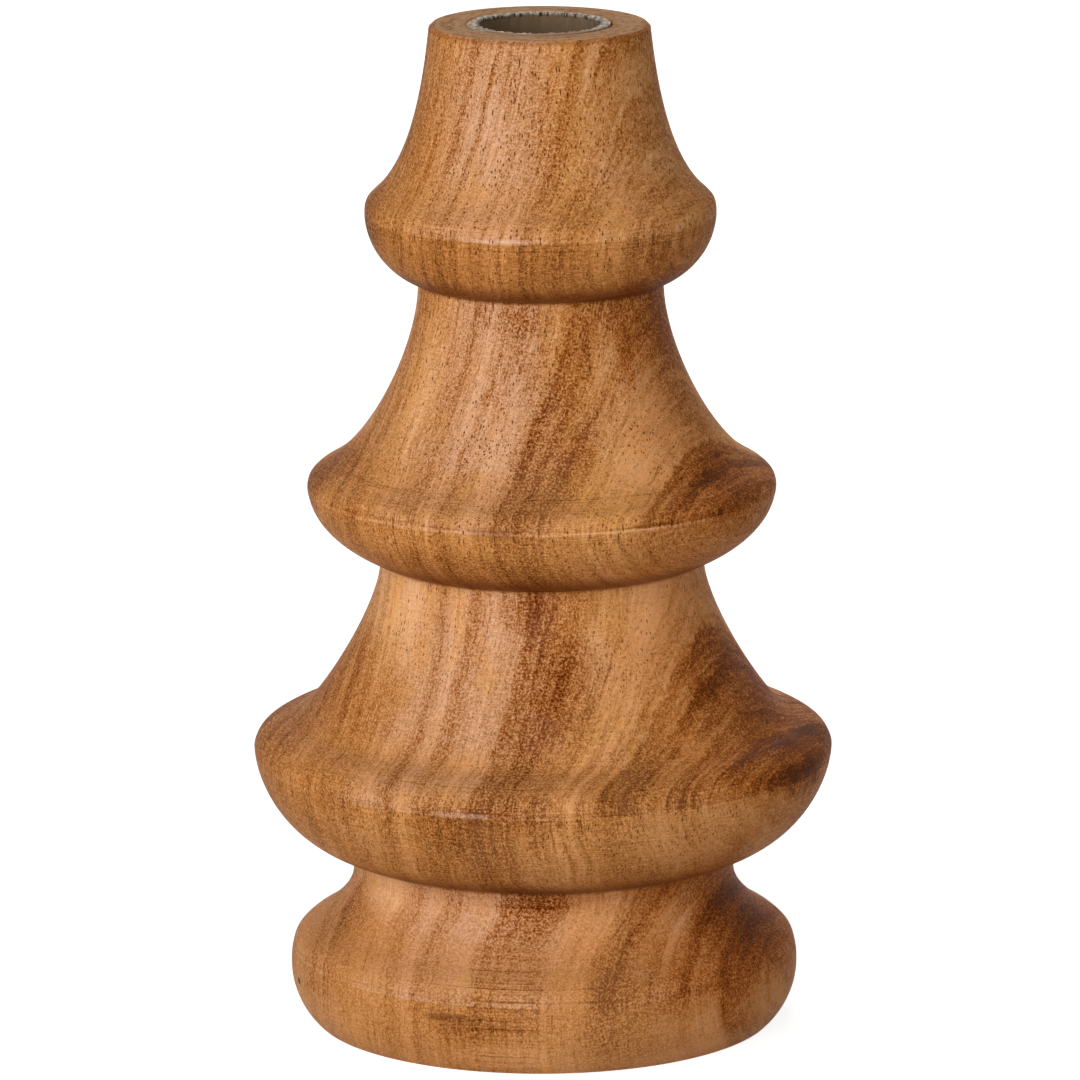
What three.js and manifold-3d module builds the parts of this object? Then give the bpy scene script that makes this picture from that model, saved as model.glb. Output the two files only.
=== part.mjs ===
// Candle holder turned from one block of wood, with three tree-like tiers over a round foot
// and a plain metal cup for a taper candle let into its top.
// Millimetres, +Z up. The origin is the centre of the flat base.

import * as THREE from 'three';
import * as BufferGeometryUtils from 'three/addons/utils/BufferGeometryUtils.js';
import Module from 'manifold-3d';

// Heights of the stacked lengths of the turned block, from the table up
const FOOT_HEIGHT = 31.9;
const LOWER_TIER_HEIGHT = 54;
const MIDDLE_TIER_HEIGHT = 51.2;
const UPPER_TIER_HEIGHT = 46.9;

// Widest point of each length: its radius, and its height above the lower end of that length
const FOOT_RIDGE_RADIUS = 46.4;
const FOOT_RIDGE_RISE = 9.9;
const LOWER_RIDGE_RADIUS = 52.8;
const LOWER_RIDGE_RISE = 19.2;
const MIDDLE_RIDGE_RADIUS = 42.6;
const MIDDLE_RIDGE_RISE = 13.9;
const UPPER_RIDGE_RADIUS = 31.8;
const UPPER_RIDGE_RISE = 13;

// Radius at each end of the stacked lengths, where one meets the next in a sharp inner corner
const BASE_RADIUS = 42;
const FOOT_NECK_RADIUS = 36.2;
const LOWER_NECK_RADIUS = 29.4;
const MIDDLE_NECK_RADIUS = 22.2;
const TOP_RADIUS = 20;

// The sharp edge of the top face is sanded off by this much
const EDGE_BREAK = 0.6;

// Metal cup: a length of tube with a disc closing its lower end
const CANDLE_BORE = 22.2;
const CANDLE_DEPTH = 24;
const TUBE_WALL = 1.7;
const TUBE_RIM_CHAMFER = 0.25;
const FLOOR_THICKNESS = 1.5;
const RIM_STAND = 0.2;

// Clearances: the glue line round the tube, and the slip fit of the disc inside it
const GLUE_GAP = 0.35;
const FLOOR_FIT = 0.3;

// How far above the top face the socket's cut starts, so that it opens cleanly
const CUT_OVERRUN = 1;

// Facets round the axis, and along each curve of the profile
const ROUND_STEPS = 64;
const FLANK_STEPS = 9;
const EDGE_STEPS = 3;
const BELLY_STEPS = 6;

const LOWER_TIER_BASE = FOOT_HEIGHT;
const MIDDLE_TIER_BASE = LOWER_TIER_BASE + LOWER_TIER_HEIGHT;
const UPPER_TIER_BASE = MIDDLE_TIER_BASE + MIDDLE_TIER_HEIGHT;
const BODY_HEIGHT = UPPER_TIER_BASE + UPPER_TIER_HEIGHT;

const CUP_TOP = BODY_HEIGHT + RIM_STAND;
const FLOOR_TOP = CUP_TOP - CANDLE_DEPTH;
const SOCKET_FLOOR = FLOOR_TOP - FLOOR_THICKNESS;
const TUBE_INNER_RADIUS = CANDLE_BORE / 2;
const TUBE_OUTER_RADIUS = TUBE_INNER_RADIUS + TUBE_WALL;
const SOCKET_RADIUS = TUBE_OUTER_RADIUS + GLUE_GAP;
const FLOOR_RADIUS = TUBE_INNER_RADIUS - FLOOR_FIT;

// Each length of the block runs from its neck down to its ridge and in again to its lower end:
// a hollow flank, a rounded edge and a full belly. The numbers that shape it are
//   neckAngle    lean of the flank where it leaves the neck, outward positive
//   neckPull     how long the flank keeps that lean, as a share of the flank's height
//   flareAngle   lean of the flank where it runs out to the ridge
//   flarePull    how long the flank has that lean, as a share of the flank's height
//   edgeOut      length of the flare that the rounded edge takes off
//   edgeDown     length of the ridge line that the rounded edge takes off
//   bellyPull    how long the belly stays upright, as a share of its height
//   returnAngle  lean of the belly where it meets the lower end
//   returnPull   how long the belly has that lean, as a share of its width
const LENGTHS = [
  {
    base: UPPER_TIER_BASE, top: BODY_HEIGHT - EDGE_BREAK,
    topRadius: TOP_RADIUS, lowRadius: MIDDLE_NECK_RADIUS,
    ridgeRadius: UPPER_RIDGE_RADIUS, ridgeRise: UPPER_RIDGE_RISE,
    neckAngle: 6, neckPull: 0.48, flareAngle: 51, flarePull: 0.26, edgeOut: 1.5, edgeDown: 1.9,
    bellyPull: 0.64, returnAngle: 77, returnPull: 0.31,
  },
  {
    base: MIDDLE_TIER_BASE, top: UPPER_TIER_BASE,
    topRadius: MIDDLE_NECK_RADIUS, lowRadius: LOWER_NECK_RADIUS,
    ridgeRadius: MIDDLE_RIDGE_RADIUS, ridgeRise: MIDDLE_RIDGE_RISE,
    neckAngle: 0, neckPull: 0.36, flareAngle: 63, flarePull: 0.26, edgeOut: 3.9, edgeDown: 1.9,
    bellyPull: 0.42, returnAngle: 69, returnPull: 0.66,
  },
  {
    base: LOWER_TIER_BASE, top: MIDDLE_TIER_BASE,
    topRadius: LOWER_NECK_RADIUS, lowRadius: FOOT_NECK_RADIUS,
    ridgeRadius: LOWER_RIDGE_RADIUS, ridgeRise: LOWER_RIDGE_RISE,
    neckAngle: 0, neckPull: 0.325, flareAngle: 72, flarePull: 0.1, edgeOut: 8.3, edgeDown: 3,
    bellyPull: 0.255, returnAngle: 77, returnPull: 0.76,
  },
  {
    base: 0, top: LOWER_TIER_BASE,
    topRadius: FOOT_NECK_RADIUS, lowRadius: BASE_RADIUS,
    ridgeRadius: FOOT_RIDGE_RADIUS, ridgeRise: FOOT_RIDGE_RISE,
    neckAngle: -23, neckPull: 0.085, flareAngle: 59, flarePull: 1.05, edgeOut: 2.6, edgeDown: 5.5,
    bellyPull: 0.325, returnAngle: 48, returnPull: 0.92,
  },
];

// A direction that runs down the profile and leans out from the axis by an angle in degrees.
function leaning(degrees) {
  const angle = THREE.MathUtils.degToRad(degrees);
  return new THREE.Vector2(Math.sin(angle), -Math.cos(angle));
}

// Points down one length of the block, from its neck to just short of its lower end.
function lengthPoints(shape) {
  const neck = new THREE.Vector2(shape.topRadius, shape.top);
  const ridge = new THREE.Vector2(shape.ridgeRadius, shape.base + shape.ridgeRise);
  const lowEnd = new THREE.Vector2(shape.lowRadius, shape.base);

  // The tangents of the rounded edge cross above the ridge, at the ridge's radius.
  const flare = leaning(shape.flareAngle);
  const crossing = new THREE.Vector2(ridge.x, ridge.y + shape.edgeDown);
  const shoulder = crossing.clone().addScaledVector(flare, -shape.edgeOut);

  const flankHeight = neck.y - shoulder.y;
  const neckPull = neck.clone().addScaledVector(leaning(shape.neckAngle), shape.neckPull * flankHeight);
  const flarePull = shoulder.clone().addScaledVector(flare, -shape.flarePull * flankHeight);
  const flank = new THREE.CubicBezierCurve(neck, neckPull, flarePull, shoulder);

  const edge = new THREE.QuadraticBezierCurve(shoulder, crossing, ridge);

  const bellyWidth = Math.abs(shape.ridgeRadius - shape.lowRadius);
  const bellyPull = ridge.clone().addScaledVector(leaning(0), shape.bellyPull * shape.ridgeRise);
  const returnPull = lowEnd.clone().addScaledVector(leaning(-shape.returnAngle), -shape.returnPull * bellyWidth);
  const belly = new THREE.CubicBezierCurve(ridge, bellyPull, returnPull, lowEnd);

  return [
    ...flank.getPoints(FLANK_STEPS).slice(0, -1),
    ...edge.getPoints(EDGE_STEPS).slice(0, -1),
    ...belly.getPoints(BELLY_STEPS).slice(0, -1),
  ];
}

// Revolves a profile of (radius, height) points, given upwards on the outside, round the Z axis.
function revolved(points) {
  const geometry = new THREE.LatheGeometry(points, ROUND_STEPS);
  geometry.rotateX(Math.PI / 2);
  return geometry;
}

function part(name, geometry, material) {
  const mesh = new THREE.Mesh(geometry, material);
  mesh.name = name;
  return mesh;
}

const wasm = await Module();
wasm.setup();

// A manifold solid of a closed three.js geometry.
function solidOf(geometry) {
  const bare = geometry.clone();
  bare.deleteAttribute('normal');
  bare.deleteAttribute('uv');
  const merged = BufferGeometryUtils.mergeVertices(bare, 1e-4);
  return new wasm.Manifold(new wasm.Mesh({
    numProp: 3,
    vertProperties: merged.attributes.position.array,
    triVerts: merged.index.array,
  }));
}

// A three.js geometry of a manifold solid.
function geometryOf(solid) {
  const mesh = solid.getMesh();
  const geometry = new THREE.BufferGeometry();
  geometry.setAttribute('position', new THREE.BufferAttribute(mesh.vertProperties, 3));
  geometry.setIndex(new THREE.BufferAttribute(mesh.triVerts, 1));
  geometry.computeVertexNormals();
  return geometry;
}

// The turned block: one revolved profile, with the socket for the cup bored into its top.
function turnedBody() {
  const outside = LENGTHS.flatMap(lengthPoints);
  outside.push(new THREE.Vector2(BASE_RADIUS, 0));
  const profile = [
    new THREE.Vector2(0, 0),
    ...outside.reverse(),
    new THREE.Vector2(TOP_RADIUS - EDGE_BREAK, BODY_HEIGHT),
    new THREE.Vector2(0, BODY_HEIGHT),
  ];
  const block = solidOf(revolved(profile));

  const socket = solidOf(revolved([
    new THREE.Vector2(0, SOCKET_FLOOR),
    new THREE.Vector2(SOCKET_RADIUS, SOCKET_FLOOR),
    new THREE.Vector2(SOCKET_RADIUS, BODY_HEIGHT + CUT_OVERRUN),
    new THREE.Vector2(0, BODY_HEIGHT + CUT_OVERRUN),
  ]));

  const wood = new THREE.MeshStandardMaterial({ color: 0xb4743f, roughness: 0.55, metalness: 0 });
  return part('turned_body', geometryOf(block.subtract(socket)), wood);
}

// The cup's wall: a cut length of tube that stands on the floor of the socket.
function cupSleeve() {
  const profile = [
    new THREE.Vector2(TUBE_INNER_RADIUS, SOCKET_FLOOR),
    new THREE.Vector2(TUBE_OUTER_RADIUS, SOCKET_FLOOR),
    new THREE.Vector2(TUBE_OUTER_RADIUS, CUP_TOP - TUBE_RIM_CHAMFER),
    new THREE.Vector2(TUBE_OUTER_RADIUS - TUBE_RIM_CHAMFER, CUP_TOP),
    new THREE.Vector2(TUBE_INNER_RADIUS, CUP_TOP),
    new THREE.Vector2(TUBE_INNER_RADIUS, SOCKET_FLOOR),
  ];
  const steel = new THREE.MeshStandardMaterial({ color: 0x8f887c, roughness: 0.5, metalness: 0.85 });
  return part('cup_sleeve', revolved(profile), steel);
}

// The cup's floor: a disc dropped inside the tube, which keeps the candle off the wood.
function cupFloor() {
  const profile = [
    new THREE.Vector2(0, SOCKET_FLOOR),
    new THREE.Vector2(FLOOR_RADIUS, SOCKET_FLOOR),
    new THREE.Vector2(FLOOR_RADIUS, FLOOR_TOP),
    new THREE.Vector2(0, FLOOR_TOP),
  ];
  const steel = new THREE.MeshStandardMaterial({ color: 0x6f685c, roughness: 0.6, metalness: 0.85 });
  return part('cup_floor', revolved(profile), steel);
}

const candleHolder = new THREE.Group();
candleHolder.add(turnedBody(), cupSleeve(), cupFloor());

export default candleHolder;
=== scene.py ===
import math

import bpy
from bpy.props import FloatProperty, FloatVectorProperty, IntProperty, PointerProperty
from mathutils import Matrix, Vector


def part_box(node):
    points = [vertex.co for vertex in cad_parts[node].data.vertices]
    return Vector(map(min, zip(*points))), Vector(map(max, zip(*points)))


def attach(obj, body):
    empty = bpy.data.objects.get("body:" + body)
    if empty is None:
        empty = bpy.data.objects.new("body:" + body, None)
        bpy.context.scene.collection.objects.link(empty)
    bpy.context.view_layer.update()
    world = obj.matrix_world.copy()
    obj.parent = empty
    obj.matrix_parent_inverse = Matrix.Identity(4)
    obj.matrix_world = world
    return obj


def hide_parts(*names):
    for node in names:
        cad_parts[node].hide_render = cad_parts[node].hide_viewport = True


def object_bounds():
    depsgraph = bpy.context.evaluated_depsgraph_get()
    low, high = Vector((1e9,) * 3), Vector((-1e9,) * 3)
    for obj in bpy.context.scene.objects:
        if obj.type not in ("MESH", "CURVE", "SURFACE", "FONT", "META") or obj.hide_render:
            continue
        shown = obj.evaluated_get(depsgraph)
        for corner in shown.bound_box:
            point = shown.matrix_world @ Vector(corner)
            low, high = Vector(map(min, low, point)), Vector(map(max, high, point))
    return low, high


bl_info = {
    "name": "Turned candle holder",
    "version": (1, 0, 0),
    "blender": (4, 5, 0),
    "location": "3D View > Sidebar > Candle holder",
    "description": "Turned block with three flared tiers and a steel candle cup, on its stage",
    "category": "Object",
}

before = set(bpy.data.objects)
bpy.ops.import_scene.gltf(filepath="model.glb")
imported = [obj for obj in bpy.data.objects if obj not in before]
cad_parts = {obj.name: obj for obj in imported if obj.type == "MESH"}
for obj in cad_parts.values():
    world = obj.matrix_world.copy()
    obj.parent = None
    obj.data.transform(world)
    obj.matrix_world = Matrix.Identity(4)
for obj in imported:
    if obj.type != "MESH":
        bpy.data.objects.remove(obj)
CAD_LOW, CAD_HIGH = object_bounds()

MM = 0.001
BODY = "root"
BLOCK_NODE = "turned_body"
SLEEVE_NODE = "cup_sleeve"
FLOOR_NODE = "cup_floor"

SLEEVE_LOW, SLEEVE_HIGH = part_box(SLEEVE_NODE)
DISC_LOW, DISC_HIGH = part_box(FLOOR_NODE)
BLOCK_LOW, BLOCK_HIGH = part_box(BLOCK_NODE)

# The disc lies in the tube with a gap of 0.3 mm round it.
BORE_RADIUS = DISC_HIGH.x + 0.3 * MM

# Closer than this, two vertices are one, or a vertex lies on a plane.
TOUCH = 1e-6
WHITE = (1.0, 1.0, 1.0)
ORIGIN = (0.0, 0.0, 0.0)
UP = (0.0, 0.0, 1.0)


def length(name, description, default, **limits):
    """A size that the sidebar shows in the scene's units."""
    limits.update(unit="LENGTH", precision=5)
    return FloatProperty(name=name, description=description, default=default, **limits)


def angle(name, description, degrees):
    """An angle, given in degrees."""
    return FloatProperty(name=name, description=description, default=math.radians(degrees), subtype="ANGLE")


def power(name, description, default):
    """A lamp's power."""
    return FloatProperty(name=name, description=description, default=default, unit="POWER", min=0.0)


def colour(name, description, default):
    """A colour that the sidebar shows as a swatch, in linear light."""
    return FloatVectorProperty(
        name=name, description=description, default=default, subtype="COLOR", size=3, min=0.0, max=1.0
    )


class BlockSettings(bpy.types.PropertyGroup):
    """Sizes of the turned block's surface; its outline comes from the frame."""

    steps: IntProperty(name="Steps round", description="Faces round the axis", default=192, min=32, max=360)
    spans: IntProperty(
        name="Steps along", description="Faces between two points of the outline", default=5, min=1, max=12
    )
    mouth_break: length("Mouth break", "Bevel round the mouth of the socket", 0.3 * MM, min=0.0)
    line_depth: length("Line depth", "Depth of the lines that the gouge left", 0.12 * MM, min=0.0)
    line_width: length("Line width", "Half the width of such a line", 0.22 * MM, min=0.0)


class CupSettings(bpy.types.PropertyGroup):
    """Sizes of the cup's small forms; its main sizes come from the frame."""

    steps: IntProperty(name="Steps round", description="Faces round the tube", default=320, min=64, max=480)
    rim_break: length("Rim break", "Bevel on the outer edge of the saw-cut rim", 0.22 * MM, min=0.0)
    burr: length("Burr", "How far the burrs of the saw cut hang into the bore", 0.46 * MM, min=0.0)
    disc_lip: length("Disc lip", "Width of the raised lip round the floor disc", 0.9 * MM, min=0.0)
    disc_dish: length("Disc dish", "How far the disc is stamped down inside its lip", 0.25 * MM, min=0.0)
    glue_sink: length("Glue sink", "How far the glue has sunk where a gap shows", 1.4 * MM, min=0.0)


class WoodColours(bpy.types.PropertyGroup):
    """Colours of the oiled wood, from its palest to its darkest figure."""

    bright: colour("Bright", "Palest flecks of all", (1.0, 0.62, 0.33))
    pale: colour("Pale", "Palest wood between the dark bands", (0.82, 0.425, 0.190))
    ground: colour("Ground", "Honey brown of most of the block", (0.575, 0.232, 0.060))
    band: colour("Band", "Reddish brown of the figure", (0.29, 0.075, 0.010))
    # Heart also paints the shade in the corners under the bellies.
    heart: colour("Heart", "Darkest streaks of the figure", (0.10, 0.018, 0.002))
    # Rose is laid in random patches and, as a painted sheen, on the side that faces the front lamp.
    rose: colour("Rose", "Pinkish cast of the bleached side", (0.71, 0.378, 0.212))
    golden: colour("Golden", "Yellowish cast of some streaks", (0.60, 0.270, 0.070))
    # Painted highlight: the sheen laid along the tiers' edges.
    sheen_paint: colour("Polish", "Sheen on the worn edges of the tiers", (0.80, 0.600, 0.480))
    # Plum is also the painted purplish sheen on one stretch of the middle tier's edge.
    plum: colour("Plum", "Purplish cast of some dark patches", (0.25, 0.078, 0.034))
    pore: colour("Pore", "Open pores and torn grain", (0.130, 0.024, 0.002))
    # Painted shade: the worm hole has no depth, so its inside is painted near black.
    hole_shade: colour("Hollow", "Inside of the worm hole", (0.02, 0.012, 0.006))
    end_grain: colour("End grain", "Sawn faces across the grain", (0.60, 0.352, 0.170))


class MetalColours(bpy.types.PropertyGroup):
    """Colours of the steel cup and the glue round it."""

    steel: colour("Steel", "Grey of the cut rim", (0.185, 0.140, 0.095))
    soot: colour("Soot", "Dark film inside the cup", (0.165, 0.105, 0.052))
    # Glint is also laid as painted light: a highlight on the rim's inner edge and a lighter right side of the
    # bore.
    glint: colour("Glint", "Bright flecks where the saw left clean steel", (0.86, 0.76, 0.62))
    dust: colour("Dust", "Sawdust and dried glue on the rim", (0.29, 0.165, 0.083))
    rust: colour("Rust", "Spots of rust on the rim", (0.20, 0.075, 0.025))
    # Painted shade between the burrs at the back of the rim.
    shade: colour("Shade", "Bites between the burrs of the rim", (0.02, 0.014, 0.008))
    glue: colour("Glue", "Glue and sawdust between tube and wood", (0.26, 0.150, 0.075))


class StageSettings(bpy.types.PropertyGroup):
    """Camera, lamps and floor."""

    pitch: angle("Camera pitch", "How far the camera looks down", 12.79)
    roll: angle("Camera roll", "Turn of the camera about its own view", -0.28)
    distance: length("Camera distance", "From the camera to the point it aims at", 1.6383, min=0.1)
    aim_height: length("Aim height", "Height of that point above the floor", 88.83 * MM)
    aim_across: length("Aim across", "That point's place to the right of the axis", -0.375 * MM)
    lens: FloatProperty(name="Lens", description="Focal length", default=300.0, min=1.0, unit="CAMERA")
    front_power: power("Front lamp", "Low, left of the camera", 32.2)
    left_power: power("Left lamp", "At the holder's left", 0.5)
    right_power: power("Right lamp", "Low, at the front right", 4.2)
    back_power: power("Back lamp", "High, behind the holder", 7.0)
    lamp_size: length("Lamp size", "Side of each square lamp", 1.6, min=0.1)
    back_size: length("Back lamp size", "Side of the square lamp behind the holder", 0.6, min=0.1)
    lamp_distance: length("Lamp distance", "From each lamp to the holder", 1.5, min=0.2)
    sky: FloatProperty(name="Sky", description="Strength of the even light all round", default=0.12, min=0.0)
    floor: colour("Floor", "Colour of the pale floor", (0.45, 0.45, 0.45))


class Value:
    """What a node gives out, for use in sums, products and steps as if it were a number."""

    def __init__(self, web, socket):
        self.web = web
        self.socket = socket

    def __add__(self, other):
        return self.web.math("ADD", self, other)

    def __sub__(self, other):
        return self.web.math("SUBTRACT", self, other)

    def __mul__(self, other):
        return self.web.math("MULTIPLY", self, other)

    def __neg__(self):
        return self * -1.0

    __radd__ = __add__
    __rmul__ = __mul__

    def step(self, start, end, low=0.0, high=1.0):
        """Runs smoothly from low to high as the value goes from start to end."""
        sockets = {"Value": self, "From Min": start, "From Max": end, "To Min": low, "To Max": high}
        return self.web.make("ShaderNodeMapRange", "Result", sockets, interpolation_type="SMOOTHSTEP")

    def fade(self, rest):
        """1 where the value is 0, and the rest where it is 1."""
        return self.step(0.0, 1.0, 1.0, rest)

    def line(self, centre, half_width, soft):
        """1 within half the width of the centre, and 0 beyond the soft edge."""
        away = self.web.math("ABSOLUTE", self - centre)
        return away.step(half_width + soft, half_width)


class Web:
    """The nodes of one material or world, added and joined by short calls."""

    def __init__(self, owner):
        self.owner = owner
        owner.use_nodes = True
        self.tree = owner.node_tree
        self.tree.nodes.clear()

    def add(self, kind, sockets=None, **settings):
        """Adds a node; its sockets are called by name or number."""
        node = self.tree.nodes.new(kind)
        for name, value in settings.items():
            setattr(node, name, value)
        for name, value in (sockets or {}).items():
            socket = node.inputs[name]
            if isinstance(value, Value):
                self.tree.links.new(value.socket, socket)
            elif hasattr(value, "__len__") and socket.type == "RGBA":
                socket.default_value = (*value, 1.0)
            else:
                socket.default_value = value
        return node

    def make(self, kind, output, sockets=None, **settings):
        """Adds a node and gives one of its outputs."""
        return Value(self, self.add(kind, sockets, **settings).outputs[output])

    def math(self, operation, *values):
        return self.make("ShaderNodeMath", "Value", dict(enumerate(values)), operation=operation)

    def vector_math(self, operation, *values, output="Vector"):
        return self.make("ShaderNodeVectorMath", output, dict(enumerate(values)), operation=operation)

    def most(self, *values):
        largest = values[0]
        for value in values[1:]:
            largest = self.math("MAXIMUM", largest, value)
        return largest

    def scaled(self, vector, scale, shift=ORIGIN):
        """The vector moved and stretched, each way by its own factor."""
        return self.make("ShaderNodeMapping", "Vector", {"Vector": vector, "Location": shift, "Scale": scale})

    def away(self, place, centre, reach):
        """How far a place is from a centre, counted in reaches, from its first two numbers."""
        scale = [1 / way for way in reach]
        shift = [-middle / way for middle, way in zip(centre, reach)]
        away = self.vector_math("MULTIPLY_ADD", place, (*scale, 0.0), (*shift, 0.0))
        return self.vector_math("LENGTH", away, output="Value")

    def parts(self, vector):
        """The three numbers of a vector."""
        node = self.add("ShaderNodeSeparateXYZ", {"Vector": vector})
        return tuple(Value(self, socket) for socket in node.outputs)

    def joined(self, x, y, z):
        return self.make("ShaderNodeCombineXYZ", "Vector", {"X": x, "Y": y, "Z": z})

    def noise(self, vector, scale=1.0, detail=2.0, roughness=0.5, output="Fac"):
        sockets = {"Vector": vector, "Scale": scale, "Detail": detail, "Roughness": roughness}
        return self.make("ShaderNodeTexNoise", output, sockets)

    def pushed(self, place, cause, reach):
        """The place moved by a cloudy colour, up to about half the reach each way."""
        centred = self.vector_math("SUBTRACT", cause, (0.5, 0.5, 0.5))
        push = self.make("ShaderNodeVectorMath", "Vector", {0: centred, "Scale": reach}, operation="SCALE")
        return self.vector_math("ADD", place, push)

    def cells(self, vector):
        """Distance to the nearest of points strewn in space, and a random colour for each."""
        node = self.add("ShaderNodeTexVoronoi", {"Vector": vector, "Scale": 1.0})
        return Value(self, node.outputs["Distance"]), Value(self, node.outputs["Color"])

    def ramp(self, value, stops):
        """Colours at given places from 0 to 1."""
        node = self.add("ShaderNodeValToRGB", {"Fac": value})
        band = node.color_ramp
        while len(band.elements) < len(stops):
            band.elements.new(0.5)
        for element, (position, shade) in zip(band.elements, stops):
            element.position = position
            element.color = (*shade, 1.0)
        return Value(self, node.outputs["Color"])

    def graph(self, value, points):
        """The value read off a smooth curve through (place, height) points."""
        low, high = points[0][0], points[-1][0]
        share = self.math("DIVIDE", value - low, high - low)
        node = self.add("ShaderNodeFloatCurve", {"Value": share})
        curve = node.mapping.curves[0]
        tallest = 2.0
        for place, height in points[1:-1]:
            curve.points.new((place - low) / (high - low), height / tallest)
        curve.points[0].location = (0.0, points[0][1] / tallest)
        curve.points[-1].location = (1.0, points[-1][1] / tallest)
        for point in curve.points:
            point.handle_type = "AUTO_CLAMPED"
        node.mapping.update()
        return Value(self, node.outputs["Value"]) * tallest

    def mix(self, share, first, second, blend="MIX"):
        """Two colours mixed; the node's colour sockets can only be called by number."""
        sockets = {"Factor": share, 6: first, 7: second}
        return self.make("ShaderNodeMix", 2, sockets, data_type="RGBA", blend_type=blend, clamp_factor=True)

    def bump(self, height, distance, strength, under=None):
        sockets = {"Height": height, "Distance": distance, "Strength": strength}
        if under is not None:
            sockets["Normal"] = under
        return self.make("ShaderNodeBump", "Normal", sockets)

    def seen_as_white(self):
        """1 for rays from the camera or off a shiny surface, which see a white room, and 0 for others."""
        path = self.add("ShaderNodeLightPath").outputs
        kinds = ("Is Camera Ray", "Is Glossy Ray", "Is Transmission Ray")
        return self.most(*(Value(self, path[kind]) for kind in kinds))

    def end(self, shader, kind="ShaderNodeOutputMaterial"):
        self.add(kind, {"Surface": shader})
        return self.owner


class PieceWeb(Web):
    """The nodes of a piece's material, which know the place on the piece in millimetres."""

    def __init__(self, name):
        super().__init__(bpy.data.materials.new(name))
        self.point = self.scaled(self.make("ShaderNodeTexCoord", "Object"), (1 / MM, 1 / MM, 1 / MM))
        self.x, self.y, self.height = self.parts(self.point)
        self.radius = self.vector_math("LENGTH", self.joined(self.x, self.y, 0.0), output="Value")

    def cloud(self, scale, shift=ORIGIN, place=None, **settings):
        """Noise in a space that is stretched and moved first."""
        return self.noise(self.scaled(place or self.point, scale, shift), **settings)

    def surface(self, sockets):
        """Ends the material with its shader, and gives the material back."""
        return self.end(self.make("ShaderNodeBsdfPrincipled", "BSDF", sockets))


# The growth layers stand nearly upright. Each dark band is named by how far its layer lies from the
# axis, in millimetres towards the layers' outer side, and says how dark the wood is there.
LAYERS = (
    (-44, 0.50), (-38, 0.42), (-32, 0.35), (-29, 0.28), (-26, 0.20), (-24, 0.22), (-22.5, 0.36),
    (-21, 0.24), (-19.6, 0.24), (-18.6, 0.38), (-17, 0.26), (-14, 0.20), (-10, 0.12), (-7, 0.18),
    (-5, 0.22), (-4, 0.32), (-2.5, 0.20), (0, 0.13), (1.8, 0.30), (3, 0.24), (5, 0.16), (7, 0.10),
    (9.5, 0.14), (11.2, 0.24), (12.8, 0.46), (14, 0.42), (15.6, 0.52), (17.2, 0.42), (19, 0.44),
    (20.5, 0.36), (22, 0.22), (25, 0.08), (27, 0.03), (29.5, 0.02), (32, 0.08), (33.5, 0.22),
    (35, 0.40), (36.3, 0.34), (37.7, 0.64), (38.8, 0.38), (41, 0.33), (42.4, 0.40), (44.5, 0.31),
    (46.6, 0.42), (48.5, 0.66), (50.6, 0.48), (53, 0.66), (55.6, 0.86), (57.2, 0.68), (59.5, 0.46),
    (62, 0.30), (70, 0.40),
)

# How strongly the bands show at each height, in millimetres
BAND_STRENGTH = (
    (0, 0.5), (18, 0.6), (24, 0.8), (32, 0.9), (38, 0.5), (49, 0.55), (52, 1.0), (84, 1.1), (88, 0.6),
    (98.5, 0.55), (101, 0.95), (132, 0.95), (138, 0.7), (143, 0.5), (156, 0.55), (164, 0.75), (184, 0.75),
)

# Where two cuts of the gouge meet, from the foot up: the crease's height and how far the belly reaches
# below it; then the middle and half the width of the stretch of its edge where a sheen is painted, in degrees
# from the front to the right; and half the height of that painted sheen. Heights are in millimetres.
CREASES = (
    (13.4, 13.4, -17, 0.5, 0.1),
    (50.1, 18.0, -16, 5, 0.5),
    (99.3, 13.0, 20, 14, 0.05),
    (149.9, 12.5, -13, 8, 0.5),
)

# The fine lines that the gouge left are cut at the creases of the foot and of the two lower tiers.
TURNED_LINES = tuple(crease for crease, *rest in CREASES[:3])
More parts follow.
